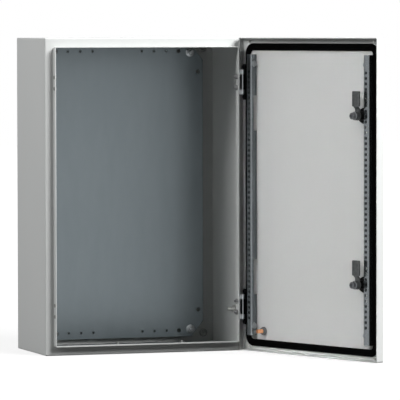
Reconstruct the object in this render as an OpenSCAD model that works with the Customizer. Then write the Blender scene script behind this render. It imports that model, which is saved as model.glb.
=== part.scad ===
// Steel enclosure with a hinged door, a mounting plate and two quarter-turn locks.
// The origin is the centre of the base, +Z is up, the door is on the -Y side, the wall side is +Y.
// The door is drawn closed in its own modules and swung open by door_open, with the lock cams upright.

/* [Body] */
// Width of the body
body_w = 400; // [300:10:600]
// Height of the body
body_h = 600; // [450:10:800]
// Depth of the body behind the front flange
body_d = 190; // [130:5:300]
// Thickness of the body sheet
body_t = 1.5; // [1.2:0.1:2]
// Outer radius of the folded edges
bend_r = 3; // [2.2:0.1:4]
// Width of the front flange outside the sealing lip
flange_w = 17; // [16.5:0.5:20]
// How far the sealing lip stands in front of the flange
lip_d = 13; // [12:0.5:15]
// Outer corner radius of the sealing lip
lip_corner_r = 3; // [2:0.5:8]

/* [Wall fixing] */
// Distance of the wall holes from the side edges
wall_hole_side = 22; // [20:1:35]
// Distance of the wall holes from the top and bottom edges
wall_hole_end = 21; // [19:1:35]
// Diameter of the wall holes
wall_hole_d = 8.5; // [6.5:0.5:10]
// Outer diameter of the rubber ring on each wall hole
wall_ring_d = 16; // [14:1:22]
// Thickness of the rubber ring
wall_ring_t = 3; // [1:0.5:4]

/* [Cable entry] */
// Width of the cable opening in the base
gland_w = 250; // [120:10:260]
// Depth of the cable opening in the base
gland_d = 70; // [40:5:72]
// Distance of the cable opening from the rear of the body
gland_rear = 18; // [16:1:40]
// Rim of the gland plate around the opening
gland_rim = 12; // [10:1:13]
// Thickness of the gland plate
gland_t = 1.5; // [1:0.1:3]
// Thickness of the gland plate gasket
gland_seal_t = 2; // [1:0.5:3]
// Diameter of the gland plate screws
gland_screw_d = 5; // [3:0.5:6]

/* [Mounting plate] */
// Gap between the plate edge and the body side
plate_side_gap = 25; // [20:1:40]
// Gap between the plate edge and the body top or bottom
plate_end_gap = 15; // [14:1:30]
// Thickness of the mounting plate
plate_t = 2; // [1.5:0.5:3]
// Width of the cut-off plate corners
plate_cut_w = 24; // [18:1:26]
// Height of the cut-off plate corners
plate_cut_h = 29; // [20:1:32]
// Clear space between the rear wall and the plate
plate_stand = 6.5; // [4:0.5:20]
// Distance of the studs from the side edges of the body
stud_side = 51; // [49:1:60]
// Distance of the studs from the top and bottom edges of the body
stud_end = 29; // [26:1:32]
// Thread diameter of the plate studs
stud_d = 8; // [6:1:8]
// Length of the stud in front of the plate
stud_out = 13; // [11:1:25]
// Distance of the row of plate holes from the plate's top and bottom edges
plate_row_end = 12; // [9:1:14]
// Distance of the row's large holes from the studs
plate_row_stud = 24; // [18:1:30]
// Pitch of the plate holes in the row
plate_pitch = 25; // [20:1:28]
// Diameter of the small plate holes
plate_hole_d = 4.5; // [3:0.5:6]
// Diameter of the large plate holes
plate_big_hole_d = 8; // [6:0.5:9]
// Distance of the side holes from the plate's side edges
plate_side_hole = 10; // [8:1:14]
// Distance of the side holes from the plate's top and bottom edges
plate_side_hole_end = 52; // [45:1:80]

/* [Door] */
// Swing of the door from closed
door_open = 111; // [0:1:125]
// Gap between the door edge and the body side
door_side_gap = 1; // [0.5:0.5:1.5]
// Height of the door's bottom edge above the base
door_lift = 2.5; // [1:0.5:5]
// Gap between the door's top edge and the body top
door_top_gap = 0.5; // [0:0.5:3]
// Thickness of the door sheet
door_t = 1.5; // [1.2:0.1:2]
// Depth of the door's flange at the free side, top and bottom
door_flange = 17.3; // [15:0.1:17.5]
// Depth of the door's flange at the hinge side
hinge_flange = 11; // [9:0.5:11.5]
// Length of the slanted flange ends at the hinge side
hinge_relief = 4; // [3.5:0.5:8]

/* [Door gasket] */
// Width of the foam gasket
gasket_w = 13.5; // [11:0.5:14]
// Height of the foam gasket
gasket_h = 5; // [4:0.5:6]
// How far the gasket reaches above and below the sealing lip
gasket_over_end = 6; // [4:0.5:7]
// How far the gasket reaches outside the sealing lip at the sides
gasket_over = 4; // [3:0.5:4]
// Outer corner radius of the gasket
gasket_r = 20; // [16:1:30]
// Gap between the gasket and the lip
seal_gap = 0.5; // [0.3:0.1:1]

/* [Door rails] */
// Width of the rail channel
rail_w = 14.5; // [12:0.5:15]
// Height of the rail channel
rail_h = 13; // [11:0.5:13]
// Thickness of the rail sheet
rail_t = 1.5; // [1:0.1:1.8]
// Outer bend radius of the rail
rail_r = 3; // [2:0.5:4]
// Gap between the rail and the gasket
rail_gap = 0.5; // [0.5:0.5:2]
// Distance of the rail ends from the top and bottom edges of the body
rail_end = 32; // [28:1:45]
// Pitch of the rail holes
rail_pitch = 10; // [8:1:20]
// Distance of the first and last rail hole from the rail ends
rail_hole_end = 33; // [10:1:60]
// Diameter of the rail holes
rail_hole_d = 6; // [3:0.5:7]
// Length of the notches at the locks
rail_notch_l = 67; // [40:1:80]
// Height of the notches at the locks
rail_notch_h = 7.5; // [6.5:0.5:8]
// Distance of the rail screws from the rail ends
rail_fix = 18; // [12:1:30]
// Diameter of the rail screws
rail_screw_d = 5; // [3:0.5:5]

/* [Hinges] */
// Distance of the hinge pins from the side of the body
hinge_inset = 9.3; // [9:0.1:9.8]
// How far the hinge pins lie in front of the middle of the door gap
hinge_lead = 1.2; // [1:0.1:2]
// Distance of the hinges from the top and bottom edges of the body
hinge_end = 85; // [70:1:110]
// Length of the hinge over its knuckles
hinge_l = 48; // [44:1:60]
// Length of one knuckle
knuckle_l = 9.5; // [7:0.5:12]
// Outer diameter of the knuckles
knuckle_d = 8; // [7:0.5:8]
// Diameter of the hinge pin
pin_d = 4; // [3:0.5:4.5]
// Running clearance of the door leaf on its pin, in diameter
pin_clear = 0.4; // [0.2:0.1:0.6]
// Thickness of the hinge plates
hinge_t = 2; // [1.5:0.5:2]
// Distance between the two fixing studs of a hinge bracket
hinge_stud_pitch = 21; // [18:1:24]
// Diameter of the hinge fixing studs
hinge_stud_d = 5; // [3:0.5:5]

/* [Locks] */
// Distance of the locks from the side of the body
lock_inset = 51; // [50:1:60]
// Distance of the locks from the top and bottom edges of the body
lock_end = 144; // [130:1:180]
// Diameter of the lock's outer rim
lock_rim_d = 28; // [26:1:32]
// Height of the lock's outer rim on the door
lock_rim_h = 3; // [2:0.5:5]
// Thread diameter of the lock housing
lock_body_d = 22; // [20:1:22]
// Width across the flats of the lock nut
lock_nut_af = 27; // [26:1:29]
// Thickness of the lock nut
lock_nut_t = 6; // [4:0.5:6]
// Diameter of the lock spindle
spindle_d = 12; // [10:0.5:12.5]
// Running clearance of the spindle in its housing, in diameter
spindle_clear = 0.4; // [0.2:0.1:0.6]
// Length of the cam from the spindle to its tip
cam_l = 45.5; // [42:0.5:48]
// Width of the cam's tip
cam_w = 20; // [16:1:22]
// Thickness of the cam
cam_t = 3; // [2:0.5:3.5]
// Gap between the locked cam and the back of the front flange
cam_gap = 0.5; // [0.3:0.1:2]
// Offset of the cam's tip from its hub
cam_crank = 3.8; // [3:0.1:4.5]

/* [Earth studs] */
// Thread diameter of the earth studs
earth_d = 8; // [6:1:8]
// Length of the earth studs
earth_l = 18; // [14:1:25]
// Height of the body's earth stud above the base
earth_z = 77; // [60:1:120]
// Distance of the body's earth stud behind the front flange
earth_back = 50; // [30:1:80]
// Distance of the door's earth stud from the side of the body
door_earth_inset = 63.5; // [58:0.5:90]
// Height of the door's earth stud above the base
door_earth_z = 41; // [38:1:60]

/* [Hidden] */
$fn = 48;
cut = 1;
slack = 0.2;

// Finishes
coat = [0.82, 0.83, 0.82];
zinc = [0.47, 0.50, 0.52];
galvanised = [0.62, 0.64, 0.65];
bright = [0.78, 0.78, 0.76];
black = [0.03, 0.03, 0.03];
copper = [0.80, 0.45, 0.25];
nylon = [0.92, 0.92, 0.90];

// Planes and lines of the body
front_y = -body_d/2;
rear_y = body_d/2;
rear_in_y = rear_y - body_t;
side_in_x = body_w/2 - body_t;
lip_x = body_w/2 - flange_w;
lip_in_x = lip_x - body_t;
lip_h = body_h - 2*flange_w;
lip_y = front_y - lip_d;
wall_x = body_w/2 - wall_hole_side;
wall_zs = [wall_hole_end, body_h - wall_hole_end];

// Planes and lines of the door when closed
door_in_y = lip_y - seal_gap - gasket_h;
skin_y = door_in_y - door_t;
door_w = body_w - 2*door_side_gap;
door_h = body_h - door_lift - door_top_gap;
door_mid_z = door_lift + door_h/2;
flange_tip_y = skin_y + door_flange;
hinge_tip_y = skin_y + hinge_flange;
hinge_x = body_w/2 - hinge_inset;
hinge_y = (front_y + skin_y)/2 - hinge_lead;
hinge_zs = [body_h - hinge_end, hinge_end];
lock_x = lock_inset - body_w/2;
lock_zs = [body_h - lock_end, lock_end];
gasket_x = lip_x + gasket_over;
gasket_half_h = lip_h/2 + gasket_over_end;
rail_x = gasket_x - gasket_w - rail_gap;
rail_l = body_h - 2*rail_end;
rail_fix_zs = [rail_end + rail_fix, body_h - rail_end - rail_fix];

// Planes of the mounting plate
plate_y = rear_in_y - plate_stand - plate_t;
plate_half_w = body_w/2 - plate_side_gap;
plate_z0 = plate_end_gap;
plate_z1 = body_h - plate_end_gap;
stud_x = body_w/2 - stud_side;
stud_zs = [stud_end, body_h - stud_end];

// Hinge details
plate_half_l = hinge_l/2;
knuckle_z = plate_half_l - knuckle_l;
leaf_gap = 0.5;
leaf_reach = 10;
leaf_half_l = plate_half_l + leaf_reach;
leaf_stud_z = plate_half_l + leaf_reach/2;
leaf_stud_d = 4;
leaf_stud_l = 5.5;
leaf_nut_t = 2.5;
leaf_out_x = door_w/2 - bend_r - slack;
leaf_in_x = gasket_x + leaf_gap;
leaf_y = door_in_y + hinge_t;
hook_half_l = knuckle_z - leaf_gap;
bracket_edge = 1.5;
bracket_y0 = lip_y + bracket_edge;
bracket_y1 = front_y - bracket_edge;
bracket_mid_y = (lip_y + front_y)/2;
hinge_nut_t = 4;
hinge_stud_in = 7;

// Lock details, as heights above the inner face of the door
cam_tip_y = front_y + body_t + cam_gap;
cam_hub_y = cam_tip_y - cam_crank;
cam_hub_r = 8.5;
cam_hub_t = 10;
cam_boss_r = 8;
cam_neck_w = 12;
cam_tip_start = 18;
cam_corner_r = 2;
spindle_sq = 8;
lock_barrel_d = 16.5;
lock_recess_d = 16;
lock_recess_h = 4;
cam_screw_d = 5;
cam_washer_t = 1.5;
cam_head_d = 12.4;
cam_head_t = 5.3;
cam_head_crown = 1.7;

// Flat shapes
module rounded_rect(w, h, r) {
    square([w - 2*r, h], center = true);
    square([w, h - 2*r], center = true);
    for (x = [-1, 1], y = [-1, 1])
        translate([x*(w/2 - r), y*(h/2 - r)]) circle(r = r);
}

module rounded_top(w, h, r) {
    square([w, h - r]);
    translate([r, 0]) square([w - 2*r, h]);
    for (x = [r, w - r]) translate([x, h - r]) circle(r = r);
}

// Extrusions and bars along the axes
module along_x(x0, x1) {
    translate([x0, 0, 0]) rotate([90, 0, 90]) linear_extrude(x1 - x0) children();
}

module along_y(y0, y1) {
    translate([0, y1, 0]) rotate([90, 0, 0]) linear_extrude(y1 - y0) children();
}

module bar_x(d, x0, x1) {
    translate([x0, 0, 0]) rotate([0, 90, 0]) cylinder(d = d, h = x1 - x0);
}

module bar_y(d, y0, y1) {
    translate([0, y0, 0]) rotate([-90, 0, 0]) cylinder(d = d, h = y1 - y0);
}

function across_corners(af) = af/cos(30);

module hex_y(af, y0, y1) {
    translate([0, y0, 0]) rotate([-90, 30, 0]) cylinder(d = across_corners(af), h = y1 - y0, $fn = 6);
}

module hex_x(af, x0, x1) {
    translate([x0, 0, 0]) rotate([0, 90, 0]) cylinder(d = across_corners(af), h = x1 - x0, $fn = 6);
}

// A box whose twelve edges are all folded to the radius r, centred on the origin
module folded_box(w, d, h, r) {
    intersection() {
        rotate([90, 0, 0]) linear_extrude(d, center = true) rounded_rect(w, h, r);
        rotate([90, 0, 90]) linear_extrude(w, center = true) rounded_rect(d, h, r);
        linear_extrude(h, center = true) rounded_rect(w, d, r);
    }
}

// Places on the body and on the door
module at_wall_holes() {
    for (x = [-1, 1], z = wall_zs) translate([x*wall_x, 0, z]) children();
}

module at_plate_studs() {
    for (x = [-1, 1], z = stud_zs) translate([x*stud_x, 0, z]) children();
}

module at_hinge_studs() {
    for (z = hinge_zs, s = [-1, 1]) translate([0, bracket_mid_y, z + s*hinge_stud_pitch/2]) children();
}

module at_rail_fixings() {
    for (x = [0, 1], z = rail_fix_zs) mirror([x, 0, 0]) translate([rail_x - rail_w, 0, z]) children();
}

module at_leaf_studs() {
    for (z = hinge_zs, s = [-1, 1])
        translate([(leaf_in_x + leaf_out_x)/2, 0, z + s*leaf_stud_z]) children();
}

module on_door() {
    translate([hinge_x, hinge_y, 0]) rotate([0, 0, door_open]) translate([-hinge_x, -hinge_y, 0]) children();
}

module on_lock(z) {
    on_door() translate([lock_x, 0, z]) children();
}

// Body: one folded and seam-welded shell with a front flange and a sealing lip
module body_shell() {
    color(coat) difference() {
        union() {
            translate([0, 0, body_h/2]) folded_box(body_w, body_d, body_h, bend_r);
            translate([0, 0, body_h/2]) along_y(lip_y, front_y + body_t)
                rounded_rect(2*lip_x, lip_h, lip_corner_r);
        }
        translate([0, 0, body_h/2])
            folded_box(body_w - 2*body_t, body_d - 2*body_t, body_h - 2*body_t, bend_r - body_t);
        translate([0, 0, body_h/2]) along_y(lip_y - cut, front_y + body_t + cut)
            rounded_rect(2*lip_in_x, lip_h - 2*body_t, lip_corner_r - body_t);
        at_wall_holes() bar_y(wall_hole_d, rear_in_y - cut, rear_y + cut);
        translate([-gland_w/2, gland_back - gland_d/2, -cut]) cube([gland_w, gland_d, body_t + 2*cut]);
        at_gland_screws() translate([0, 0, -cut]) cylinder(d = gland_screw_d, h = body_t + 2*cut);
        for (m = [0, 1]) mirror([m, 0, 0]) at_hinge_studs()
            bar_x(hinge_stud_d + 2*slack, lip_in_x - cut, lip_x + cut);
    }
}

// Cable entry: a plate that closes the opening in the base from the inside
gland_back = rear_y - gland_rear - gland_d/2;
gland_seal_z = body_t;
gland_z = gland_seal_z + gland_seal_t;
gland_screw_y = gland_d/2 + gland_rim/2;
gland_screw_xs = [-gland_w/2 - gland_rim/2, 0, gland_w/2 + gland_rim/2];

module at_gland_screws() {
    for (x = gland_screw_xs, y = [-1, 1]) translate([x, gland_back + y*gland_screw_y, 0]) children();
}

module gland_outline(rim) {
    translate([0, gland_back]) square([gland_w + 2*rim, gland_d + 2*rim], center = true);
}

module gland_gasket() {
    color(black) translate([0, 0, gland_seal_z]) difference() {
        linear_extrude(gland_seal_t) gland_outline(gland_rim);
        translate([0, 0, -cut]) linear_extrude(gland_seal_t + 2*cut) gland_outline(0);
        at_gland_screws() translate([0, 0, -cut]) cylinder(d = gland_screw_d, h = gland_seal_t + 2*cut);
    }
}

module gland_plate() {
    color(zinc) translate([0, 0, gland_z]) difference() {
        linear_extrude(gland_t) gland_outline(gland_rim);
        at_gland_screws() translate([0, 0, -cut]) cylinder(d = gland_screw_d, h = gland_t + 2*cut);
    }
}

module gland_screws() {
    head_t = 0.6*gland_screw_d;
    color(bright) at_gland_screws() {
        cylinder(d = gland_screw_d, h = gland_z + gland_t);
        translate([0, 0, gland_z + gland_t]) cylinder(d = 1.8*gland_screw_d, h = head_t);
    }
}

// Rubber ring inside the rear wall around each wall hole
module wall_hole_rings() {
    color(black) at_wall_holes() difference() {
        bar_y(wall_ring_d, rear_in_y - wall_ring_t, rear_in_y);
        bar_y(wall_hole_d + 1, rear_in_y - wall_ring_t - cut, rear_in_y + cut);
    }
}

// Mounting plate on four welded studs
module plate_studs() {
    collar_d = 1.6*stud_d;
    color(bright) at_plate_studs() {
        bar_y(collar_d, plate_y + plate_t, rear_in_y);
        bar_y(stud_d, plate_y - stud_out, rear_in_y);
    }
}

module plate_outline() {
    w = plate_half_w;
    polygon([
        [-w + plate_cut_w, plate_z0], [w - plate_cut_w, plate_z0], [w, plate_z0 + plate_cut_h],
        [w, plate_z1 - plate_cut_h], [w - plate_cut_w, plate_z1], [-w + plate_cut_w, plate_z1],
        [-w, plate_z1 - plate_cut_h], [-w, plate_z0 + plate_cut_h]
    ]);
}

module mounting_plate() {
    row_zs = [plate_z0 + plate_row_end, plate_z1 - plate_row_end];
    side_zs = [plate_z0 + plate_side_hole_end, plate_z1 - plate_side_hole_end];
    row_x = stud_x - plate_row_stud;
    color(zinc) difference() {
        along_y(plate_y, plate_y + plate_t) plate_outline();
        at_plate_studs() bar_y(stud_d + 1, plate_y - cut, plate_y + plate_t + cut);
        for (s = [-1, 1], z = row_zs) {
            for (i = [1:3]) translate([s*(row_x - i*plate_pitch), 0, z])
                bar_y(plate_hole_d, plate_y - cut, plate_y + plate_t + cut);
            translate([s*row_x, 0, z])
                bar_y(plate_big_hole_d, plate_y - cut, plate_y + plate_t + cut);
        }
        for (s = [-1, 1], z = side_zs) translate([s*(plate_half_w - plate_side_hole), 0, z])
            bar_y(plate_big_hole_d, plate_y - cut, plate_y + plate_t + cut);
    }
}

module plate_nuts() {
    af = 1.625*stud_d;
    flange_t = 1.5;
    nut_t = 0.9*stud_d;
    color(bright) at_plate_studs() difference() {
        union() {
            bar_y(across_corners(af) + 3, plate_y - flange_t, plate_y);
            hex_y(af, plate_y - nut_t, plate_y);
        }
        bar_y(stud_d, plate_y - nut_t - cut, plate_y + cut);
    }
}

// Hinges: a bracket with two knuckles and studs on the sealing lip, a pin, and a hooked leaf on the door
module hinge_bracket(z) {
    color(bright) translate([0, 0, z]) {
        difference() {
            union() {
                translate([lip_x, bracket_y0, -plate_half_l])
                    cube([hinge_t, bracket_y1 - bracket_y0, hinge_l]);
                for (s = [0, 1]) mirror([0, 0, s]) translate([0, 0, knuckle_z]) {
                    translate([hinge_x, hinge_y, 0]) cylinder(d = knuckle_d, h = knuckle_l);
                    translate([lip_x, bracket_y0, 0])
                        cube([hinge_x - lip_x, hinge_y + knuckle_d/2 - bracket_y0, knuckle_l]);
                }
            }
            translate([hinge_x, hinge_y, -plate_half_l - cut]) cylinder(d = pin_d, h = hinge_l + 2*cut);
        }
        for (s = [-1, 1]) translate([0, bracket_mid_y, s*hinge_stud_pitch/2])
            bar_x(hinge_stud_d, lip_in_x - hinge_stud_in, lip_x + hinge_t);
    }
}

module hinge_pin(z) {
    color(bright) translate([hinge_x, hinge_y, z - plate_half_l]) cylinder(d = pin_d, h = hinge_l);
}

module hinge_nuts() {
    color(black) at_hinge_studs() difference() {
        hex_x(1.6*hinge_stud_d, lip_in_x - hinge_nut_t, lip_in_x);
        bar_x(hinge_stud_d, lip_in_x - hinge_nut_t - cut, lip_in_x + cut);
    }
}

module hinge_leaf(z) {
    bore_d = pin_d + pin_clear;
    mouth_w = 0.9*pin_d;
    hook_d = knuckle_d;
    stem_w = hook_d - 2;
    color(black) on_door() translate([0, 0, z]) difference() {
        union() {
            translate([leaf_in_x, door_in_y, -leaf_half_l])
                cube([leaf_out_x - leaf_in_x, hinge_t, 2*leaf_half_l]);
            translate([hinge_x, hinge_y, -hook_half_l]) cylinder(d = hook_d, h = 2*hook_half_l);
            translate([hinge_x - stem_w/2, leaf_y - hinge_t/2, -hook_half_l])
                cube([stem_w, hinge_y - leaf_y + hinge_t/2, 2*hook_half_l]);
        }
        translate([hinge_x, hinge_y, -hook_half_l - cut]) cylinder(d = bore_d, h = 2*hook_half_l + 2*cut);
        translate([hinge_x, hinge_y, -hook_half_l - cut]) rotate([0, 0, 45])
            translate([-mouth_w/2, 0, 0]) cube([mouth_w, hook_d, 2*hook_half_l + 2*cut]);
        for (s = [-1, 1]) translate([(leaf_in_x + leaf_out_x)/2, 0, s*leaf_stud_z])
            bar_y(leaf_stud_d, door_in_y - cut, leaf_y + cut);
    }
}

module leaf_studs() {
    color(black) on_door() at_leaf_studs() bar_y(leaf_stud_d, door_in_y, door_in_y + leaf_stud_l);
}

module leaf_nuts() {
    color(black) on_door() at_leaf_studs() difference() {
        hex_y(1.75*leaf_stud_d, leaf_y, leaf_y + leaf_nut_t);
        bar_y(leaf_stud_d, leaf_y - cut, leaf_y + leaf_nut_t + cut);
    }
}

// Plugs in the spare hinge holes, so that the door can be hung on either side
module spare_hinge_plugs() {
    head_t = 2;
    rim_t = 1;
    color(black) mirror([1, 0, 0]) at_hinge_studs() {
        bar_x(hinge_stud_d + 2*slack, lip_in_x, lip_x);
        bar_x(1.8*hinge_stud_d, lip_in_x - head_t, lip_in_x);
        bar_x(1.4*hinge_stud_d, lip_x, lip_x + rim_t);
    }
}

// Earth stud on the inside of the body's hinge side
module at_body_earth() {
    translate([0, front_y + earth_back, earth_z]) children();
}

module body_earth_stud() {
    color(bright) at_body_earth() bar_x(earth_d, side_in_x - earth_l, side_in_x);
}

module body_earth_nut() {
    washer_t = 1.5;
    nut_t = 0.8*earth_d;
    color(bright) at_body_earth() difference() {
        union() {
            bar_x(2*earth_d, side_in_x - washer_t, side_in_x);
            hex_x(1.625*earth_d, side_in_x - washer_t - nut_t, side_in_x);
        }
        bar_x(earth_d, side_in_x - washer_t - nut_t - cut, side_in_x + cut);
    }
}

// Door: a folded tray, lower at the hinge side and cut out around the hinges
module door_shell() {
    tray_d = 2*door_flange;
    cut_y = hinge_y - knuckle_d/2;
    cut_room = 3;
    cut_half_l = plate_half_l + cut_room;
    flange_x = door_w/2 - door_t;
    color(coat) on_door() difference() {
        translate([0, skin_y + tray_d/2, door_mid_z]) folded_box(door_w, tray_d, door_h, bend_r);
        translate([0, skin_y + door_t + tray_d/2, door_mid_z])
            folded_box(door_w - 2*door_t, tray_d, door_h - 2*door_t, bend_r - door_t);
        translate([-door_w/2 - cut, flange_tip_y, -cut]) cube([door_w + 2*cut, tray_d, body_h + 2*cut]);
        translate([0, 0, -cut]) linear_extrude(body_h + 2*cut) polygon([
            [flange_x - hinge_relief, flange_tip_y], [flange_x, hinge_tip_y], [door_w/2 + cut, hinge_tip_y],
            [door_w/2 + cut, flange_tip_y + cut], [flange_x - hinge_relief, flange_tip_y + cut]
        ]);
        for (z = hinge_zs) translate([flange_x - slack, cut_y, z - cut_half_l])
            cube([door_t + slack + cut, hinge_tip_y - cut_y + cut, 2*cut_half_l]);
        for (z = lock_zs) translate([lock_x, 0, z])
            bar_y(lock_body_d + slack, skin_y - cut, door_in_y + cut);
    }
}

// Foamed gasket: one bead with rounded shoulders, run round the door opposite the lip
module gasket_bead() {
    rounded_top(gasket_w, gasket_h, gasket_h/2);
}

module gasket_run(length, offset) {
    translate([offset - gasket_w, door_in_y, -length/2]) linear_extrude(length) gasket_bead();
}

module door_gasket() {
    run_w = gasket_x - gasket_r;
    run_h = gasket_half_h - gasket_r;
    color(black) on_door() translate([0, 0, body_h/2]) {
        for (a = [0, 180]) {
            rotate([0, a, 0]) gasket_run(2*run_h, gasket_x);
            rotate([0, a + 90, 0]) gasket_run(2*run_w, gasket_half_h);
        }
        for (x = [0, 1], z = [0, 1]) mirror([x, 0, 0]) mirror([0, 0, z])
            translate([run_w, door_in_y, run_h]) rotate([-90, 0, 0]) rotate([0, 0, -90])
            rotate_extrude(angle = 90) translate([gasket_r - gasket_w, 0]) gasket_bead();
    }
}

// Rails: perforated channels that stiffen the door and carry wiring
module rail_section() {
    difference() {
        rounded_top(rail_w, rail_h, rail_r);
        translate([rail_t, -cut]) rounded_top(rail_w - 2*rail_t, rail_h - rail_t + cut, rail_r - rail_t);
    }
}

module rail() {
    hole_count = floor((rail_l - 2*rail_hole_end)/rail_pitch) + 1;
    first_z = (body_h - (hole_count - 1)*rail_pitch)/2;
    color(galvanised) difference() {
        translate([rail_x, door_in_y, rail_end]) mirror([1, 0, 0]) linear_extrude(rail_l) rail_section();
        for (i = [0:hole_count - 1]) translate([rail_x - rail_w/2, 0, first_z + i*rail_pitch])
            bar_y(rail_hole_d, door_in_y + rail_h - rail_t - cut, door_in_y + rail_h + cut);
        for (z = lock_zs) translate([rail_x - rail_w - cut, door_in_y - cut, z - rail_notch_l/2])
            cube([rail_t + slack + cut, rail_notch_h + cut, rail_notch_l]);
        for (z = rail_fix_zs) translate([rail_x - rail_w, door_in_y + rail_h/2, z])
            bar_x(rail_screw_d + 2*slack, -cut, rail_t + cut);
    }
}

module rail_hinge_side() {
    on_door() rail();
}

module rail_lock_side() {
    on_door() mirror([1, 0, 0]) rail();
}

// Clips welded to the door inside the rails, and the screws that hold the rails to them
clip_t = 2;
clip_h = 10;
clip_foot = 8;
clip_l = 16;

module rail_clips() {
    color(bright) on_door() at_rail_fixings() difference() {
        translate([rail_t, door_in_y, -clip_l/2]) union() {
            cube([clip_t, clip_h, clip_l]);
            cube([clip_foot, clip_t, clip_l]);
        }
        translate([0, door_in_y + rail_h/2, 0]) bar_x(rail_screw_d, rail_t - cut, rail_t + clip_t + cut);
    }
}

module rail_screws() {
    head_t = 4;
    flange_t = 1;
    color(bright) on_door() at_rail_fixings() translate([0, door_in_y + rail_h/2, 0]) {
        bar_x(rail_screw_d, -flange_t, rail_t + clip_t + 1);
        bar_x(2.4*rail_screw_d, -flange_t, 0);
        hex_x(1.6*rail_screw_d, -head_t, -flange_t);
    }
}

// Buffers in the corners of the door, between the gasket and the flange
module corner_buffers() {
    buffer_d = 4.5;
    buffer_h = 5.5;
    side_inset = 22;
    end_inset = 7;
    buffer_x = door_w/2 - side_inset;
    buffer_z = door_h/2 - end_inset;
    color(nylon) on_door() for (x = [-1, 1], z = [-1, 1])
        translate([x*buffer_x, 0, door_mid_z + z*buffer_z]) bar_y(buffer_d, door_in_y, door_in_y + buffer_h);
}

// Locks: a housing clamped through the door by a nut, a turning spindle, a cranked cam and its screw
module lock_housing(z) {
    barrel_y = cam_hub_y - slack;
    chamfer = 1;
    color(black) on_lock(z) difference() {
        union() {
            translate([0, skin_y - lock_rim_h, 0]) rotate([-90, 0, 0])
                cylinder(d1 = lock_rim_d - 2*chamfer, d2 = lock_rim_d, h = chamfer);
            bar_y(lock_rim_d, skin_y - lock_rim_h + chamfer, skin_y);
            bar_y(lock_body_d, skin_y, door_in_y + lock_nut_t);
            bar_y(lock_barrel_d, skin_y, barrel_y);
        }
        bar_y(spindle_d + spindle_clear, skin_y - lock_rim_h - cut, barrel_y + cut);
        bar_y(lock_recess_d, skin_y - lock_rim_h - cut, skin_y - lock_rim_h + lock_recess_h);
    }
}

module lock_nut(z) {
    color(black) on_lock(z) difference() {
        hex_y(lock_nut_af, door_in_y, door_in_y + lock_nut_t);
        bar_y(lock_body_d, door_in_y - cut, door_in_y + lock_nut_t + cut);
    }
}

// The spindle ends outside in a double-bit key post and inside in a square for the cam
module lock_spindle(z) {
    post_inset = 0.5;
    post_y = skin_y - lock_rim_h + post_inset;
    floor_y = skin_y - lock_rim_h + lock_recess_h;
    collar_d = lock_recess_d - spindle_clear;
    collar_t = 0.8;
    wing = 11;
    wing_t = 3;
    color(bright) on_lock(z) difference() {
        union() {
            bar_y(spindle_d/2, post_y, floor_y);
            translate([-wing_t/2, post_y, -wing/2]) cube([wing_t, floor_y - post_y, wing]);
            bar_y(collar_d, floor_y - collar_t, floor_y);
            bar_y(spindle_d, floor_y - collar_t, cam_hub_y);
            translate([-spindle_sq/2, cam_hub_y - cut, -spindle_sq/2])
                cube([spindle_sq, cam_hub_t + cut, spindle_sq]);
        }
        bar_y(cam_screw_d, cam_hub_y - 2*cam_screw_d, cam_hub_y + cam_hub_t + cut);
    }
}

module cam_side_view() {
    ramp_l = 6;
    ramp_start = cam_tip_start - ramp_l;
    polygon([
        [cam_hub_y, -cam_hub_r - cut], [cam_hub_y, ramp_start], [cam_tip_y, cam_tip_start],
        [cam_tip_y, cam_l + cut], [cam_tip_y + cam_t, cam_l + cut], [cam_tip_y + cam_t, cam_tip_start - 1],
        [cam_hub_y + cam_t, ramp_start - 1], [cam_hub_y + cam_t, -cam_hub_r - cut]
    ]);
}

module cam_front_view() {
    tip_l = cam_l - cam_tip_start + 1;
    circle(r = cam_hub_r);
    translate([-cam_neck_w/2, 0]) square([cam_neck_w, cam_tip_start]);
    translate([0, cam_l - tip_l/2]) rounded_rect(cam_w, tip_l, cam_corner_r);
}

module lock_cam(z) {
    color(zinc) on_lock(z) difference() {
        union() {
            intersection() {
                along_x(-cam_w/2 - cut, cam_w/2 + cut) cam_side_view();
                along_y(cam_hub_y - cut, cam_tip_y + cam_t + cut) cam_front_view();
            }
            bar_y(2*cam_boss_r, cam_hub_y + cam_t/2, cam_hub_y + cam_hub_t);
        }
        translate([-spindle_sq/2, cam_hub_y - cut, -spindle_sq/2])
            cube([spindle_sq, cam_hub_t + 2*cut, spindle_sq]);
    }
}

module cam_screw(z) {
    washer_y = cam_hub_y + cam_hub_t;
    head_y = washer_y + cam_washer_t;
    color(bright) on_lock(z) {
        bar_y(cam_screw_d, cam_hub_y - 2*cam_screw_d + cut, head_y);
        bar_y(2*cam_boss_r - 1, washer_y, head_y);
        bar_y(cam_head_d, head_y, head_y + cam_head_t - cam_head_crown);
        translate([0, head_y + cam_head_t - cam_head_crown, 0]) rotate([-90, 0, 0])
            cylinder(d1 = cam_head_d, d2 = cam_head_d - 2.4*cam_head_crown, h = cam_head_crown);
    }
}

// Copper-plated earth stud on the inside of the door, with its nut and washer
module at_door_earth() {
    on_door() translate([body_w/2 - door_earth_inset, 0, door_earth_z]) children();
}

module door_earth_stud() {
    color(copper) at_door_earth() bar_y(earth_d, door_in_y, door_in_y + earth_l);
}

module door_earth_nut() {
    washer_t = 1.5;
    nut_t = 0.6*earth_d;
    color(bright) at_door_earth() difference() {
        union() {
            bar_y(2*earth_d, door_in_y, door_in_y + washer_t);
            hex_y(1.625*earth_d, door_in_y, door_in_y + washer_t + nut_t);
        }
        bar_y(earth_d, door_in_y - cut, door_in_y + washer_t + nut_t + cut);
    }
}

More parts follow.
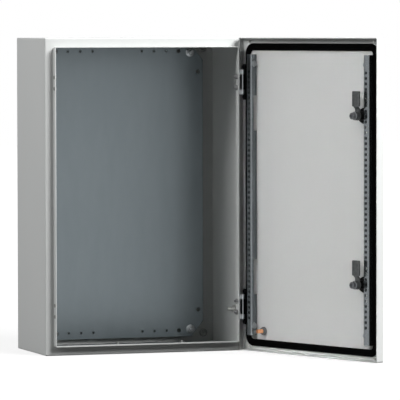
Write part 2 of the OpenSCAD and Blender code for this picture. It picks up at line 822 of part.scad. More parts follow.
body_shell();
gland_gasket();
gland_plate();
gland_screws();
wall_hole_rings();
plate_studs();
mounting_plate();
plate_nuts();
hinge_bracket(hinge_zs[0]);  // hinge_bracket_upper
hinge_bracket(hinge_zs[1]);  // hinge_bracket_lower
hinge_pin(hinge_zs[0]);  // hinge_pin_upper
hinge_pin(hinge_zs[1]);  // hinge_pin_lower
hinge_nuts();
spare_hinge_plugs();
body_earth_stud();
body_earth_nut();
door_shell();
door_gasket();
hinge_leaf(hinge_zs[0]);  // hinge_leaf_upper
hinge_leaf(hinge_zs[1]);  // hinge_leaf_lower
leaf_studs();
leaf_nuts();
rail_hinge_side();
rail_lock_side();
rail_clips();
rail_screws();
corner_buffers();
lock_housing(lock_zs[0]);  // lock_housing_upper
lock_housing(lock_zs[1]);  // lock_housing_lower
lock_nut(lock_zs[0]);  // lock_nut_upper
lock_nut(lock_zs[1]);  // lock_nut_lower
door_earth_stud();
door_earth_nut();
lock_spindle(lock_zs[0]);  // lock_spindle_upper
lock_spindle(lock_zs[1]);  // lock_spindle_lower
lock_cam(lock_zs[0]);  // lock_cam_upper
lock_cam(lock_zs[1]);  // lock_cam_lower
cam_screw(lock_zs[0]);  // cam_screw_upper
cam_screw(lock_zs[1]);  // cam_screw_lower
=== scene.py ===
import bmesh
import bpy
import numpy as np
from mathutils import Matrix


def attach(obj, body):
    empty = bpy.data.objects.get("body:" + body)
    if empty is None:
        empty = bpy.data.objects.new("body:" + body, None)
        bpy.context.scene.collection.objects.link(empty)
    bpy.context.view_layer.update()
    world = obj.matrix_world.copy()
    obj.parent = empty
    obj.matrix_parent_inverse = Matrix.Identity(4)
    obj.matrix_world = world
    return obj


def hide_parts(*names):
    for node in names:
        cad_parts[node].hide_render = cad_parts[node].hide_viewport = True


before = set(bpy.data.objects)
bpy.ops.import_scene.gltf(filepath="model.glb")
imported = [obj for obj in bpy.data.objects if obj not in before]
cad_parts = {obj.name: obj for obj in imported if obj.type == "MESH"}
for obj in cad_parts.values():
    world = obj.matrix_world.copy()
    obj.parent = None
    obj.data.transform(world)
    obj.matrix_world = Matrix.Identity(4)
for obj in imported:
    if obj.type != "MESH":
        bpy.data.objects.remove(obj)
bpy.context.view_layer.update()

# Body shell and door shell
# Each is one sheet of 1.5 mm steel, folded and seam welded. The body has a front flange and a sealing lip.
# Both are powder coated light grey, with the fine orange peel that the coat keeps when it is baked.


class Wire:
    """One output of a node; sums, products and 1 - wire, with wires or numbers, add a Math node."""

    def __init__(self, tree, socket=None):
        self.tree = tree
        self.socket = socket

    def node(self, kind, sockets={}, out=0, **settings):
        """Adds a node of this type, makes its settings, then fills its sockets with values or wires."""
        made = self.tree.nodes.new("ShaderNode" + kind)
        for name, value in settings.items():
            setattr(made, name, value)
        for name, value in sockets.items():
            if isinstance(value, Wire):
                self.tree.links.new(value.socket, made.inputs[name])
            else:
                made.inputs[name].default_value = value
        return Wire(self.tree, made.outputs[out]) if made.outputs else None

    def maths(self, operation, first, second):
        """A Math node with this operation on two wires or numbers."""
        return self.node("Math", {0: first, 1: second}, operation=operation)

    def __add__(self, other):
        return self.maths("ADD", self, other)

    def __mul__(self, other):
        return self.maths("MULTIPLY", self, other)

    def __rsub__(self, other):
        return self.maths("SUBTRACT", other, self)

    __radd__ = __add__
    __rmul__ = __mul__


def finish(name):
    """A new material and a wire with the piece's own Object coordinates."""
    made = bpy.data.materials.new(name)
    made.use_nodes = True
    made.node_tree.nodes.clear()
    return made, Wire(made.node_tree).node("TexCoord", out="Object")


def noise(place, cells, detail, stretch=(1, 1, 1)):
    """Noise of this many cells to the metre, drawn out along an axis where its stretch is below 1."""
    spread = place.node("Mapping", {"Vector": place, "Scale": stretch})
    return place.node("TexNoise", {"Vector": spread, "Scale": cells, "Detail": detail})


def between(place, mask, low, high):
    """Colour between two linear colours, by a mask from 0 to 1; 6, 7 and 2 are Mix's colour sockets."""
    return place.node("Mix", {0: mask, 6: (*low, 1), 7: (*high, 1)}, out=2, data_type="RGBA")


def relief(place, height, strength, depth):
    """Fine relief for a Normal socket: a height map of this depth in metres."""
    return place.node("Bump", {"Strength": strength, "Distance": depth, "Height": height})


def surface(place, sockets):
    """Closes a material: one Principled shader with these sockets, joined to the output."""
    place.node("OutputMaterial", {"Surface": place.node("BsdfPrincipled", sockets)})


def dress(material, *nodes):
    """Puts a material on CAD nodes that keep their own shape."""
    for node in nodes:
        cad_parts[node].data.materials.clear()
        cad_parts[node].data.materials.append(material)


coat, place = finish("light_grey_powder_coat")
peel = noise(place, cells=800, detail=2) + 0.35*noise(place, cells=2600, detail=1)
drift = noise(place, cells=7, detail=3)
surface(place, {
    "Base Color": between(place, drift, (0.618, 0.634, 0.626), (0.646, 0.658, 0.650)),
    "Roughness": 0.46 + 0.10*noise(place, cells=350, detail=2),
    "Specular IOR Level": 0.22,
    "Normal": relief(place, peel, strength=0.22, depth=0.00008),
})
dress(coat, "body_shell", "door_shell")

# Cable entry
# A flat zinc-plated plate closes the opening in the base from inside, on a rubber gasket.
# Six pan-head screws with cross recesses hold it down.


def sharpened(place, mask, low, high):
    """The part of a mask from low to high, drawn out to 0 to 1 with soft ends."""
    return place.node("MapRange", {"Value": mask, "From Min": low, "From Max": high},
                      interpolation_type="SMOOTHSTEP")


def plated(name, dull, fresh, rough, cloud, streak=(1, 1, 1)):
    """Plated or cast metal: colour drifts in soft clouds, with a fine grain in tone, gloss and relief."""
    made, place = finish(name)
    drift = sharpened(place, noise(place, cloud, detail=4, stretch=streak), low=0.3, high=0.7)
    grain = noise(place, cells=1500, detail=2, stretch=streak)
    surface(place, {
        "Base Color": between(place, 0.75*drift + 0.25*grain, dull, fresh),
        "Metallic": 0.92,
        "Roughness": rough + 0.12*grain + 0.06*drift,
        "Normal": relief(place, grain, strength=0.12, depth=0.00005),
    })
    return made


def moulded(name, deep, pale, rough, cells, depth, gloss=0.5):
    """Moulded plastic, rubber or phosphated steel: a fine even grain in tone, gloss and relief."""
    made, place = finish(name)
    grain = noise(place, cells, detail=3)
    surface(place, {
        "Base Color": between(place, noise(place, cells=40, detail=3), deep, pale),
        "Roughness": rough + 0.15*grain,
        "Specular IOR Level": gloss,
        "Normal": relief(place, grain, strength=0.3, depth=depth),
    })
    return made


def full_turn(count):
    """Angles in equal steps once round."""
    return np.arange(count)*2*np.pi/count


def round_z(radius, height, angle):
    """Rings round the z axis: radius times the angle's cosine and sine, at each height."""
    return np.stack([radius*np.cos(angle), radius*np.sin(angle), height + 0*angle], axis=-1)


def turned(profile, count):
    """Rings of a turned shape: each (radius, height) of the profile carried once round the z axis."""
    radius, height = np.asarray(profile, float).T[:, :, None]
    return round_z(radius, height, full_turn(count))


def lofted(rings, wrap=False):
    """Skin over a stack of rings, as points and quads; ends shrink to their centres or meet in a wrap."""
    if not wrap:
        ends = [np.broadcast_to(ring.mean(axis=0), ring.shape) for ring in (rings[0], rings[-1])]
        rings = np.concatenate([ends[:1], rings, ends[1:]])
    number = np.arange(rings.shape[0]*rings.shape[1]).reshape(rings.shape[:2])
    upper = np.roll(number, -1, axis=0)
    quads = np.stack([number, np.roll(number, -1, axis=1), np.roll(upper, -1, axis=1), upper], axis=-1)
    return rings.reshape(-1, 3), (quads if wrap else quads[:-1]).reshape(-1, 4)


def moved(spot, *skins):
    """The same skins, each moved by one step."""
    return [(points + np.asarray(spot, float), quads) for points, quads in skins]


def at_each(places, skin):
    """Copies of one skin, moved to each of the places."""
    return [copy for spot in places for copy in moved(spot, skin)]


def piece(name, skins, material, body, node):
    """Joins skins in millimetres into one mesh in metres, which rides on its body in place of a CAD node."""
    starts = np.cumsum([0] + [len(points) for points, quads in skins])
    points = np.concatenate([points for points, quads in skins])/1000
    quads = np.concatenate([quads + start for (own_points, quads), start in zip(skins, starts)])
    mesh = bpy.data.meshes.new(name)
    mesh.from_pydata(points.tolist(), [], quads.tolist())
    skin = bmesh.new()
    skin.from_mesh(mesh)
    bmesh.ops.remove_doubles(skin, verts=skin.verts, dist=1e-7)
    skin.to_mesh(mesh)
    skin.free()
    mesh.shade_smooth()
    mesh.set_sharp_from_angle(angle=np.radians(35))
    mesh.materials.append(material)
    made = bpy.data.objects.new(name, mesh)
    bpy.context.scene.collection.objects.link(made)
    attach(made, body)
    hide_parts(node)
    return made


def pan_head(across, height, count=56):
    """Pan head: a flat top falls off as a quarter ellipse; two crossed slots sink where x or y is small."""
    fall = np.linspace(0, np.pi/2, 8)
    flat_r = 0.55*across/2
    flat_rings = 12
    slot_half = 0.085*across
    slot_end = 0.27*across
    slot_slope = 0.06*across
    out = np.concatenate([[across/2], flat_r + (across/2 - flat_r)*np.cos(fall),
                          np.linspace(0.9, 0.05, flat_rings)*flat_r])
    up = np.concatenate([[0], height*(0.45 + 0.55*np.sin(fall)), np.full(flat_rings, height)])
    rings = turned(np.stack([out, up], axis=1), count)
    in_slot = np.minimum(np.abs(rings[..., 0]), np.abs(rings[..., 1])) < slot_half
    reach = np.clip((slot_end - out)/slot_slope, 0, 1)[:, None]
    rings[..., 2] -= 0.55*height*in_slot*reach
    return rings


bright_zinc = plated("bright_zinc_plating", dull=(0.50, 0.50, 0.48), fresh=(0.68, 0.68, 0.66),
                     rough=0.22, cloud=260)
rubber = moulded("black_rubber", deep=(0.012, 0.012, 0.013), pale=(0.020, 0.020, 0.021),
                 rough=0.62, cells=900, depth=0.0001)
plate_zinc = plated("blue_zinc_plating", dull=(0.180, 0.210, 0.225), fresh=(0.206, 0.238, 0.253),
                    rough=0.30, cloud=28, streak=(1, 1, 0.25))
dress(plate_zinc, "gland_plate")
dress(rubber, "gland_gasket")

gland_top = 5
gland_shank_l = 5.2
gland_screw_r = 2.5
gland_spots = [(x, y) for x in (-131, 0, 131) for y in (1, 83)]
gland_head = lofted(pan_head(across=9, height=3))
gland_shank = lofted(turned([(gland_screw_r, 0), (gland_screw_r, gland_shank_l)], 20))
piece("gland_screws_pan_head",
      at_each([(x, y, gland_top) for x, y in gland_spots], gland_head)
      + at_each([(x, y, 0) for x, y in gland_spots], gland_shank),
      bright_zinc, "cabinet", "gland_screws")

# Wall-hole rings
# Moulded rubber rings on the four wall holes, with a rounded lip and a thin skin that a wall screw pierces.
# They press into the holes from inside.

frontward = (0, -1, 0)
rear_wall_y = 93.5


def facing(axis, rings):
    """Turns rings from the z axis on to another level axis, with their y axis upright."""
    side = np.cross((0, 0, 1), axis)
    return rings @ np.array([side, np.cross(axis, side), axis], float)


grey_rubber = moulded("grey_rubber", deep=(0.30, 0.306, 0.30), pale=(0.37, 0.376, 0.37),
                      rough=0.5, cells=900, depth=0.0001)
ring_profile = [(0.6, 0.0), (8.0, 0.0), (8.0, 1.5), (7.5, 2.5), (6.5, 3.0), (5.3, 3.0), (4.8, 2.6),
                (4.5, 1.6), (3.6, 0.9), (0.6, 0.9)]
wall_ring = lofted(facing(frontward, turned(ring_profile, 56)))
wall_holes = [(x, rear_wall_y, z) for x in (-178, 178) for z in (21, 579)]
piece("wall_hole_rings_moulded", at_each(wall_holes, wall_ring),
      grey_rubber, "cabinet", "wall_hole_rings")

# Plate studs and nuts
# Four M8 studs of zinc-plated steel are welded to the rear wall, each with a collar that carries the plate.
# A flanged hexagon nut holds the mounting plate at each stud.


def thread(across, pitch, length, count=20):
    """Threaded stud: half the width less a saw-tooth, in height over pitch less angle over one turn.

    Its tip is cut by a cone of 45 degrees.
    """
    height = np.append(np.arange(0, length, pitch/6), length)[:, None]
    angle = full_turn(count)
    saw = np.abs(2*((height/pitch - angle/(2*np.pi)) % 1) - 1)
    tip_r = across/2 - 0.6*pitch
    radius = np.minimum(across/2 - 0.55*pitch*saw, tip_r + length - height)
    return round_z(radius, height, angle)


def hexagon(flats, rise, top, count=72):
    """Hexagon rings at heights up to top: the flats' radius, cut near the top by the chamfer's cone."""
    angle = full_turn(count)
    reach = flats/2/np.cos((angle + np.pi/6) % (np.pi/3) - np.pi/6)
    height = np.asarray(rise, float)[:, None]
    top_r = 0.475*flats
    chamfer_slope = 1.75
    radius = np.minimum(reach, top_r + chamfer_slope*(top - height))
    return round_z(radius, height, angle)


def bored(axis, rings, bore, top, count=72):
    """Closes outer rings into a nut along an axis: over the top, down the bore and back to the seat."""
    ease = 0.08*bore
    inside = [(bore/2 + ease, top), (bore/2, top - ease), (bore/2, ease), (bore/2 + ease, 0)]
    return lofted(facing(axis, np.concatenate([rings, turned(inside, count)])), wrap=True)


def flanged_nut(axis, flats, bore, top, flange, flange_t):
    """Nut with a washer face: the flange is a turned foot under the hexagon."""
    foot = turned([(flange/2 - 0.3, 0), (flange/2, 0.3), (flange/2, flange_t - 0.2)], 72)
    edge = 0.06*flats
    body = hexagon(flats, [flange_t + 0.5, top - edge, top - edge/2, top], top)
    return bored(axis, np.concatenate([foot, body]), bore, top)


dull_zinc = plated("dull_zinc_plating", dull=(0.30, 0.32, 0.33), fresh=(0.42, 0.44, 0.45),
                   rough=0.30, cloud=260)
m8 = {"across": 8, "pitch": 1.25}
stud_foot_y = 87.2
plate_front_y = 85
stud_spots = [(x, z) for x in (-149, 149) for z in (29, 571)]
collar = lofted(facing(frontward, turned([(6.4, 0), (6.4, 6.2), (6.1, 6.5)], 40)))
stud = lofted(facing(frontward, thread(**m8, length=15.2)))
plate_nut = flanged_nut(frontward, flats=13, bore=8, top=7.2, flange=18, flange_t=1.5)
piece("plate_studs_threaded",
      at_each([(x, rear_wall_y, z) for x, z in stud_spots], collar)
      + at_each([(x, stud_foot_y, z) for x, z in stud_spots], stud),
      dull_zinc, "cabinet", "plate_studs")
piece("plate_nuts_flanged", at_each([(x, plate_front_y, z) for x, z in stud_spots], plate_nut),
      dull_zinc, "cabinet", "plate_nuts")

# Mounting plate
# A flat 2 mm sheet with cut corners and rows of punched holes, passivated to a blue-grey.
# The rolling direction shows as faint upright streaks.

dress(plate_zinc, "mounting_plate")

# Hinges on the body
# A steel bracket with two knuckles is bolted to the sealing lip by two studs, and a turned pin joins them.
# Thin nuts sit inside the lip, and grey plugs close the same holes on the other side.

leftward = (-1, 0, 0)
rightward = (1, 0, 0)
hinge_zs = {"upper": 515, "lower": 85}
pin_x = 190.7
pin_y = -106.2
lip_out_x = 183
lip_in_x = 181.5
lip_stud_y = -101.5
lip_stud_rise = 10.5

grey_plastic = moulded("grey_moulded_plastic", deep=(0.20, 0.202, 0.20), pale=(0.27, 0.272, 0.27),
                       rough=0.38, cells=1100, depth=0.00006)
grey_steel = moulded("grey_phosphated_steel", deep=(0.19, 0.192, 0.194), pale=(0.27, 0.272, 0.274),
                     rough=0.35, cells=1400, depth=0.00005)


def corner_turns(steps):
    """Angles round a section's four corners, a quarter turn each, with each corner's signs of x and y."""
    quarter = np.linspace(0, np.pi/2, steps)
    turn = (quarter[None, :] + np.arange(4)[:, None]*np.pi/2).reshape(-1)
    return turn, np.repeat([1, -1, -1, 1], steps), np.repeat([1, 1, -1, -1], steps)


def eased_box(low, high, ease, steps=3):
    """Box between two corners, its upright edges rounded to a radius and its ends drawn in by the same."""
    low = np.asarray(low, float)
    high = np.asarray(high, float)
    middle = (low + high)/2
    half = (high - low)/2
    turn, x_sign, y_sign = corner_turns(steps)
    bend = np.linspace(0, np.pi/2, steps)
    draw = np.concatenate([ease*(1 - np.sin(bend)), ease*(1 - np.cos(bend))])[:, None]
    height = np.concatenate([low[2] + ease*(1 - np.cos(bend)), high[2] - ease*(1 - np.sin(bend))])[:, None]
    out = ease - draw
    x = middle[0] + x_sign*(half[0] - ease) + out*np.cos(turn)
    y = middle[1] + y_sign*(half[1] - ease) + out*np.sin(turn)
    return lofted(np.stack([x, y, height + 0*x], axis=-1))


def second_finish(made, material, chosen):
    """Gives another material to the faces whose centres, in millimetres, are chosen."""
    middles = np.empty(3*len(made.data.polygons))
    made.data.polygons.foreach_get("center", middles)
    made.data.materials.append(material)
    made.data.polygons.foreach_set("material_index", chosen(1000*middles.reshape(-1, 3)).astype(int))


def hex_nut(axis, flats, bore, top, edge):
    """Plain hexagon nut, its top edge cut by a chamfer of this height."""
    return bored(axis, hexagon(flats, [0, top - edge, top - edge/2, top], top), bore, top)


m5 = {"across": 5, "pitch": 0.8}
lip_stud = lofted(facing(leftward, thread(**m5, length=10.4)))
lip_stud_foot_x = 184.9
bracket_half = 24
bracket_front_y = -106.5
web_l = 9.5
bracket_plate = eased_box((lip_out_x, bracket_front_y, -bracket_half), (185, -96.5, bracket_half), ease=0.6)
webs = [eased_box((183.4, bracket_front_y, low), (pin_x, -102.2, low + web_l), ease=0.5)
        for low in (-bracket_half, bracket_half - web_l)]
knuckle = turned([(3.2, 14.5), (3.8, 14.7), (4, 15.2), (4, 22.6), (3.8, 23.3), (3.3, 23.8), (2.4, 24)], 40)
knuckles = [lofted(knuckle), lofted(knuckle[::-1]*[1, 1, -1])]
pin = lofted(turned([(1.5, -24), (2, -23.5), (2, 23.5), (1.5, 24)], 32))
for name, z in hinge_zs.items():
    stud_feet = [(lip_stud_foot_x, lip_stud_y, z + s) for s in (-lip_stud_rise, lip_stud_rise)]
    pressed = moved((0, 0, z), bracket_plate, *webs) + moved((pin_x, pin_y, z), *knuckles)
    bracket = piece("hinge_bracket_" + name + "_pressed", pressed + at_each(stud_feet, lip_stud),
                    dull_zinc, "cabinet", "hinge_bracket_" + name)
    second_finish(bracket, grey_steel, lambda middle: middle[:, 0] < lip_in_x)
    piece("hinge_pin_" + name + "_turned", moved((pin_x, pin_y, z), pin),
          dull_zinc, "cabinet", "hinge_pin_" + name)

lip_stud_zs = [z + s for z in hinge_zs.values() for s in (-lip_stud_rise, lip_stud_rise)]
lip_nut = hex_nut(leftward, flats=8, bore=5, top=4, edge=0.5)
piece("hinge_nuts_hexagon", at_each([(lip_in_x, lip_stud_y, z) for z in lip_stud_zs], lip_nut),
      grey_steel, "cabinet", "hinge_nuts")

plug_profile = [(3.0, -1.0), (3.5, -0.7), (3.5, 0.0), (2.7, 0.0), (2.7, 1.5), (4.5, 1.5), (4.5, 2.3),
                (4.0, 3.0), (2.5, 3.4), (0.5, 3.5)]
plug = lofted(facing(rightward, turned(plug_profile, 40)))
piece("spare_hinge_plugs_domed", at_each([(-lip_out_x, lip_stud_y, z) for z in lip_stud_zs], plug),
      grey_plastic, "cabinet", "spare_hinge_plugs")

# Earth stud on the body
# An M8 stud welded to the inside of the hinge side, with a plain washer and a hexagon nut.
# All are bright zinc-plated steel, left bare for the earth lead.

body_earth = (198.5, -45, 77)
earth_stud_l = 18
body_stud = lofted(facing(leftward, thread(**m8, length=earth_stud_l)))
body_nut = flanged_nut(leftward, flats=13, bore=8, top=7.9, flange=16, flange_t=1.5)
piece("body_earth_stud_threaded", moved(body_earth, body_stud),
      bright_zinc, "cabinet", "body_earth_stud")
piece("body_earth_nut_hexagon", moved(body_earth, body_nut),
      bright_zinc, "cabinet", "body_earth_nut")

# Foamed gasket
# A bead of black polyurethane foam, poured on the inside of the door opposite the sealing lip.
# It sets with a tight skin, rounded shoulders and a slightly uneven crown.

hinge_axis = np.array([pin_x, pin_y, 0])
door_turn = np.radians(111)
door_in_y = -113.5
body_middle_z = 300


def swung(points):
    """Turns what is laid out on the closed door about the hinge pins, to the door's resting place."""
    cosine = np.cos(door_turn)
    sine = np.sin(door_turn)
    return (points - hinge_axis) @ np.array([[cosine, sine, 0], [-sine, cosine, 0], [0, 0, 1]]) + hinge_axis


def hung(skins):
    """Skins laid out on the closed door, swung with it."""
    return [(swung(points), quads) for points, quads in skins]


def frame_path(half_w, half_h, radius, corner_steps, side_steps):
    """Points and outward directions round a rectangle with round corners, anticlockwise."""
    turn, x_sign, y_sign = corner_turns(corner_steps)
    outward = np.stack([np.cos(turn), np.sin(turn)], axis=-1).reshape(4, corner_steps, 2)
    signs = np.stack([x_sign, y_sign], axis=-1).reshape(4, corner_steps, 2)
    corner = signs*[half_w - radius, half_h - radius] + radius*outward
    along = np.linspace(0, 1, side_steps)[None, 1:-1, None]
    side = corner[:, -1:, :]*(1 - along) + np.roll(corner, -1, axis=0)[:, :1, :]*along
    hold = np.broadcast_to(outward[:, -1:, :], side.shape)
    points = np.concatenate([corner, side], axis=1).reshape(-1, 2)
    return points, np.concatenate([outward, hold], axis=1).reshape(-1, 2)


def gasket_bead(half, height, spots, outward):
    """Bead: powers of cosine and sine give a section with full shoulders, which is carried round the path.

    Its crown sinks a little, by the product of two slow sine waves along the run.
    """
    foot_h = 0.4
    foot_in = 0.2
    lean = np.linspace(0, np.pi, 15)[1:-1]
    across = half*np.sign(np.cos(lean))*np.abs(np.cos(lean))**0.7
    crown = height*np.sin(lean)**0.45
    across = np.concatenate([[half - foot_in, half], across, [-half, foot_in - half]])
    crown = np.concatenate([[0, foot_h], crown, [foot_h, 0]])
    run = np.cumsum(np.hypot(*np.diff(spots, axis=0, prepend=spots[:1]).T))
    uneven = 1 - 0.03*(1 + np.sin(run/23)*np.sin(run/61 + 1))[:, None]
    x = spots[:, :1] + outward[:, :1]*across
    z = body_middle_z + spots[:, 1:] + outward[:, 1:]*across
    return np.stack([x, door_in_y + crown*uneven, z], axis=-1)


gasket_half = 6.75
gasket_h = 5
gasket_path = frame_path(half_w=187 - gasket_half, half_h=289 - gasket_half, radius=20 - gasket_half,
                         corner_steps=12, side_steps=60)
bead = gasket_bead(gasket_half, gasket_h, *gasket_path)
# Black foam, painted near-black beyond the foam's own colour: partly the black foam, partly painted shade of
# the shadowed channel beside the bead.
foam_with_painted_shade, place = finish("black_foam_and_painted_shade")
pores = noise(place, cells=1600, detail=3)
surface(place, {
    "Base Color": between(place, pores, (0.0006, 0.0006, 0.0006), (0.002, 0.002, 0.002)),
    "Roughness": 0.78 + 0.2*pores,
    "Specular IOR Level": 0.02,
    "Normal": relief(place, pores, strength=0.5, depth=0.0002),
})
gasket = piece("door_gasket_foamed", hung([lofted(bead, wrap=True)]), foam_with_painted_shade, "door", "door_gasket")

# Hinges on the door
# A black phosphated steel leaf with a hook that drops over the pin.
# It is held to the door on two welded studs by thin nuts.

rearward = (0, 1, 0)
leaf_x = (187.5 + 195.8)/2
leaf_t = 2
leaf_stud_rise = 29
black_steel = moulded("black_phosphated_steel", deep=(0.003, 0.003, 0.003), pale=(0.007, 0.007, 0.008),
                      rough=0.32, cells=1400, depth=0.00005, gloss=0.07)
dress(black_steel, "hinge_leaf_upper", "hinge_leaf_lower")
leaf_stud_zs = [z + s for z in hinge_zs.values() for s in (-leaf_stud_rise, leaf_stud_rise)]
leaf_stud = lofted(facing(rearward, thread(across=4, pitch=0.7, length=5.5)))
leaf_nut = hex_nut(rearward, flats=7, bore=4, top=2.5, edge=0.4)
piece("leaf_studs_threaded", hung(at_each([(leaf_x, door_in_y, z) for z in leaf_stud_zs], leaf_stud)),
      black_steel, "door", "leaf_studs")
piece("leaf_nuts_hexagon", hung(at_each([(leaf_x, door_in_y + leaf_t, z) for z in leaf_stud_zs], leaf_nut)),
      black_steel, "door", "leaf_nuts")

# Rails on the door
# Two perforated channels of zinc-plated sheet stiffen the door and carry wiring.
# Each is held to two welded clips by screws with flanged hexagon heads.

galvanised = plated("galvanised_sheet", dull=(0.160, 0.175, 0.184), fresh=(0.225, 0.243, 0.254),
                    rough=0.12, cloud=60, streak=(1, 1, 0.2))
dress(galvanised, "rail_hinge_side", "rail_lock_side", "rail_clips")

rail_face_x = 158.5
rail_screw_y = -107
rail_screw_zs = (50, 550)
rail_head = np.concatenate([turned([(5.7, 0), (6, 0.3), (5.9, 0.9)], 72),
                            hexagon(flats=8, rise=[1.3, 3.5, 3.75, 4], top=4),
                            turned([(3.2, 4), (2.9, 3.6), (0.4, 3.5)], 72)])
rail_shank = thread(**m5, length=4.5)
rail_screws = []
for side in (1, -1):
    spots = [(side*rail_face_x, rail_screw_y, z) for z in rail_screw_zs]
    rail_screws += at_each(spots, lofted(facing((-side, 0, 0), rail_head)))
    rail_screws += at_each(spots, lofted(facing((side, 0, 0), rail_shank)))
piece("rail_screws_flanged", hung(rail_screws), dull_zinc, "door", "rail_screws")

# Corner buffers
# Small white nylon studs with domed ends, in the corners of the door between the gasket and the flange.
# They are fixed to the door and keep its edge from striking the body.

nylon = moulded("white_nylon", deep=(0.78, 0.78, 0.75), pale=(0.86, 0.86, 0.84),
                rough=0.34, cells=800, depth=0.00005)
buffer_x = 177
buffer_rise = 291.5
door_middle_z = 301
buffer_profile = [(2.25, 0), (2.25, 3.6), (2.05, 4.7), (1.4, 5.3), (0.4, 5.5)]
buffer = lofted(facing(rearward, turned(buffer_profile, 32)))
buffer_places = [(x, door_in_y, door_middle_z + rise)
                 for x in (-buffer_x, buffer_x) for rise in (-buffer_rise, buffer_rise)]
piece("corner_buffers_domed", hung(at_each(buffer_places, buffer)),
      nylon, "door", "corner_buffers")

# Locks
# A black housing goes through the door, clamped by a hexagon nut, and a zinc-plated spindle turns in it.
# A cranked die-cast cam sits on the spindle's square under a washer and a socket-headed screw.

lock_x = -149
lock_zs = {"upper": 456, "lower": 144}
housing_y = -118
cam_y = -96.8
boss_y = -95.3
washer_y = -86.8
screw_y = -85.3

black_plastic = moulded("black_moulded_plastic", deep=(0.003, 0.003, 0.003), pale=(0.007, 0.007, 0.007),
                        rough=0.38, cells=1100, depth=0.00006, gloss=0.08)
cam_cast = plated("die_cast_cam", dull=(0.072, 0.076, 0.076), fresh=(0.112, 0.118, 0.117),
                  rough=0.34, cloud=180)
# Zinc plating painted darker than the other zinc: painted shade for the cam screw heads and the door's earth
# nut.
shade_darkened_zinc = plated("zinc_plating_darkened_as_painted_shade", dull=(0.13, 0.135, 0.14), fresh=(0.21, 0.215, 0.22),
                   rough=0.34, cloud=260)
dress(bright_zinc, "lock_spindle_upper", "lock_spindle_lower")

lock_nut = hex_nut(rearward, flats=27, bore=22.5, top=6, edge=1)
housing_profile = [(8, 0), (12.6, 0), (13.6, 0.5), (14, 1.4), (14, 3), (11.25, 3), (11.25, 10.5),
                   (8.25, 10.5), (8.25, 21), (6.05, 21), (6.05, 4), (8, 4)]
housing = lofted(facing(rearward, turned(housing_profile, 56)), wrap=True)


def cam_rings():
    """Cam by stations along its length: half width of hub, neck and tip, a soft crank, a rounded section.

    The hub is an arc, the tip's corners are quarter circles, and the crank is a smooth step in depth.
    """
    hub_r = 8.5
    hub_end = 6.02
    neck_half = 6.0
    neck_end = 17.2
    tip_flat_half = 8
    tip_r = 2
    tip_start = 19.2
    tip_end = 43.5
    crank_start = 11.5
    crank_l = 6
    crank_lift = 3.8
    half_t = 1.5
    edge_r = 0.7
    along = np.concatenate([hub_r*np.sin(np.linspace(-1.54, 0.75, 20)), np.linspace(6.5, 17, 16),
                            neck_end + tip_r*(1 - np.cos(np.linspace(0.15, np.pi/2, 7))),
                            np.linspace(20, 43, 6), tip_end + tip_r*np.sin(np.linspace(0, 1.5, 8))])
    hub = np.sqrt(np.maximum(hub_r**2 - along**2, 0))
    past = np.maximum(along - tip_end, 0)**2 + np.maximum(tip_start - along, 0)**2
    tip = tip_flat_half + np.sqrt(np.maximum(tip_r**2 - past, 0))
    half = np.where(along < hub_end, hub, np.where(along < neck_end, neck_half, tip))[:, None]
    ramp = np.clip((along - crank_start)/crank_l, 0, 1)
    lift = crank_lift*ramp*ramp*(3 - 2*ramp)
    turn, x_sign, y_sign = corner_turns(4)
    wide = x_sign*np.maximum(half - edge_r, 0.1) + np.minimum(edge_r, half)*np.cos(turn)
    deep = half_t + y_sign*(half_t - edge_r) + edge_r*np.sin(turn)
    return np.stack([wide, cam_y + lift[:, None] + deep, along[:, None] + 0*wide], axis=-1)[:, ::-1]


cam = lofted(cam_rings())
cam_boss = lofted(facing(rearward, turned([(7.6, 0), (8, 0.4), (8, 8), (7.8, 8.4), (7.4, 8.5)], 48)))
cam_washer = lofted(facing(rearward, turned([(7.2, 0), (7.5, 0.3), (7.5, 1.2), (7.2, 1.5)], 48)))
no_chamfer = 20
socket_head = np.concatenate([turned([(6.0, 0), (6.2, 0.2), (6.2, 4.9), (5.8, 5.3)], 72),
                              hexagon(flats=7.6, rise=[5.3, 2.4], top=no_chamfer),
                              turned([(0.3, 2.3)], 72)])
cam_screw_head = lofted(facing(rearward, socket_head))
into_body = swung(hinge_axis + rearward) - hinge_axis
washer_top = screw_y - 0.05 - pin_y
for name, z in lock_zs.items():
    piece("lock_housing_" + name + "_turned", hung(moved((lock_x, housing_y, z), housing)),
          black_plastic, "door", "lock_housing_" + name)
    piece("lock_nut_" + name + "_hexagon", hung(moved((lock_x, door_in_y, z), lock_nut)),
          black_steel, "door", "lock_nut_" + name)
    cam_and_boss = moved((lock_x, 0, z), cam) + moved((lock_x, boss_y, z), cam_boss)
    piece("lock_cam_" + name + "_cast", hung(cam_and_boss),
          cam_cast, "lock_" + name, "lock_cam_" + name)
    washer_and_head = moved((lock_x, washer_y, z), cam_washer) + moved((lock_x, screw_y, z), cam_screw_head)
    cam_screw = piece("cam_screw_" + name + "_socket_head", hung(washer_and_head),
                      shade_darkened_zinc, "lock_" + name, "cam_screw_" + name)
    second_finish(cam_screw, dull_zinc, lambda middle: (middle - hinge_axis) @ into_body < washer_top)

# Earth stud on the door
# A copper-plated M8 stud welded low on the hinge side of the door, with a washer and a thin hexagon nut.
# The nut and washer are zinc-plated steel; their darker tone is painted shade.

copper = plated("copper_plating", dull=(0.62, 0.27, 0.13), fresh=(0.80, 0.42, 0.23), rough=0.24, cloud=300)
door_earth = (136.5, door_in_y, 41)
door_stud = lofted(facing(rearward, thread(**m8, length=earth_stud_l)))
door_nut = flanged_nut(rearward, flats=13, bore=8, top=6.3, flange=16, flange_t=1.5)
piece("door_earth_stud_threaded", hung(moved(door_earth, door_stud)),
      copper, "door", "door_earth_stud")
piece("door_earth_nut_hexagon", hung(moved(door_earth, door_nut)),
      shade_darkened_zinc, "door", "door_earth_nut")

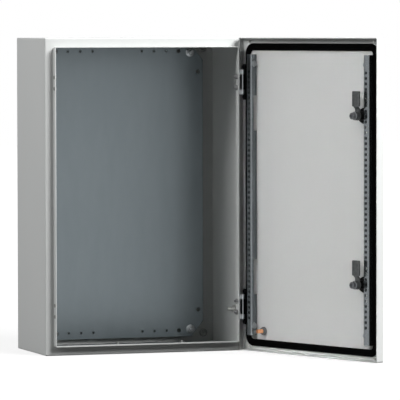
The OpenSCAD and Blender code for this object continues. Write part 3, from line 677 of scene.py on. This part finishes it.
# Studio
# A pale floor and a white surround, with broad soft lamps at the upper right front and at the left.
# A small lamp with a grid lights the inside of the open door alone, and one behind lights the rear.
# Reflections show the white surround but no lamp, so that pale faces keep their tone at low angles.

body_middle = np.array([0, 0, 0.3])
door_middle = np.array([0.272, -0.315, 0.25])


def stood(right, up, back, spot):
    """Matrix that stands a lamp or camera at a spot, with these directions as its own three axes."""
    columns = np.eye(4)
    columns[:3] = np.stack([right, up, back, spot], axis=-1)
    return Matrix(columns.tolist())


def lamp(name, direction, distance, width, height, level, target=body_middle, spread=180):
    """Area lamp facing its target from a direction, in metres.

    Level 1, without a grid, lights a surface that faces it so that a colour renders as written.
    """
    aim = np.asarray(direction, float)
    aim = aim/np.linalg.norm(aim)
    side = np.cross((0, 0, 1), aim)
    side = side/np.linalg.norm(side)
    light = bpy.data.lights.new(name, "AREA")
    light.shape = "RECTANGLE"
    light.size = width
    light.size_y = height
    light.energy = level*np.pi**2*distance**2
    light.spread = np.radians(spread)
    made = bpy.data.objects.new(name, light)
    made.matrix_world = stood(side, np.cross(aim, side), aim, target + distance*aim)
    made.visible_glossy = False
    bpy.context.scene.collection.objects.link(made)


lamp("key_lamp", (0.78, -1.0, 1.08), distance=3.2, width=2.0, height=1.4, level=1.71)
lamp("left_lamp", (-1.0, -0.20, 0.60), distance=3.2, width=1.1, height=1.1, level=0.49)
lamp("door_lamp", (-0.75, -0.62, 0.55), distance=2.2, width=0.36, height=0.7, level=0.0078,
     target=door_middle, spread=7)
lamp("back_lamp", (0.35, 1.0, 0.12), distance=3.2, width=1.2, height=1.2, level=0.72)


def backdrop_rays(wire):
    """1 for rays that show the white ground: seen, seen through, or off gloss before any matt bounce."""
    seen = wire.node("LightPath", out="Is Camera Ray")
    mirrored = wire.node("LightPath", out="Is Glossy Ray")
    through = wire.node("LightPath", out="Is Transmission Ray")
    early = wire.maths("LESS_THAN", wire.node("LightPath", out="Diffuse Depth"), 0.5)
    return seen + mirrored*early + through


dim = 0.005
world = bpy.data.worlds.new("white_surround")
world.use_nodes = True
world.node_tree.nodes.clear()
sky = Wire(world.node_tree)
brightness = dim + (1 - dim)*backdrop_rays(sky)
shown = sky.node("Background", {"Color": (1, 1, 1, 1), "Strength": brightness})
sky.node("OutputWorld", {"Surface": shown})
bpy.context.scene.world = world

reach = 12
floor_mesh = bpy.data.meshes.new("floor")
floor_mesh.from_pydata([(-reach, -reach, 0), (reach, -reach, 0), (reach, reach, 0), (-reach, reach, 0)], [],
                       [(0, 1, 2, 3)])
floor = bpy.data.objects.new("floor", floor_mesh)
bpy.context.scene.collection.objects.link(floor)
floor_white, place = finish("pale_floor")
glow = place.node("Emission", {"Color": (1, 1, 1, 1), "Strength": 1.06})
pale = place.node("BsdfDiffuse", {"Color": (0.86, 0.86, 0.86, 1)})
matt = place.node("BsdfDiffuse", {"Color": (0.10, 0.10, 0.10, 1)})
away = place.node("VectorMath", {0: place}, out="Value", operation="LENGTH")
near = 0.22*(1 - sharpened(place, away, low=0.5, high=1.1))
seen_floor = place.node("MixShader", {0: near, 1: glow, 2: pale})
mixed = place.node("MixShader", {0: backdrop_rays(place), 1: matt, 2: seen_floor})
place.node("OutputMaterial", {"Surface": mixed})
floor_mesh.materials.append(floor_white)

yaw, pitch, roll = np.radians((18.72, 2.58, -0.10))
camera_spot = (-2.263, -7.092, 0.623)
ahead = np.array([np.sin(yaw)*np.cos(pitch), np.cos(yaw)*np.cos(pitch), -np.sin(pitch)])
sideways = np.array([np.cos(yaw), -np.sin(yaw), 0])
upright = np.cross(sideways, ahead)
right = np.cos(roll)*sideways + np.sin(roll)*upright
up = np.cos(roll)*upright - np.sin(roll)*sideways
lens = bpy.data.cameras.new("camera")
lens.lens = 348.75
lens.sensor_width = 36
lens.clip_end = 60
camera = bpy.data.objects.new("camera", lens)
camera.matrix_world = stood(right, up, -ahead, camera_spot)
bpy.context.scene.collection.objects.link(camera)
bpy.context.scene.camera = camera
bpy.context.scene.view_settings.view_transform = "Standard"
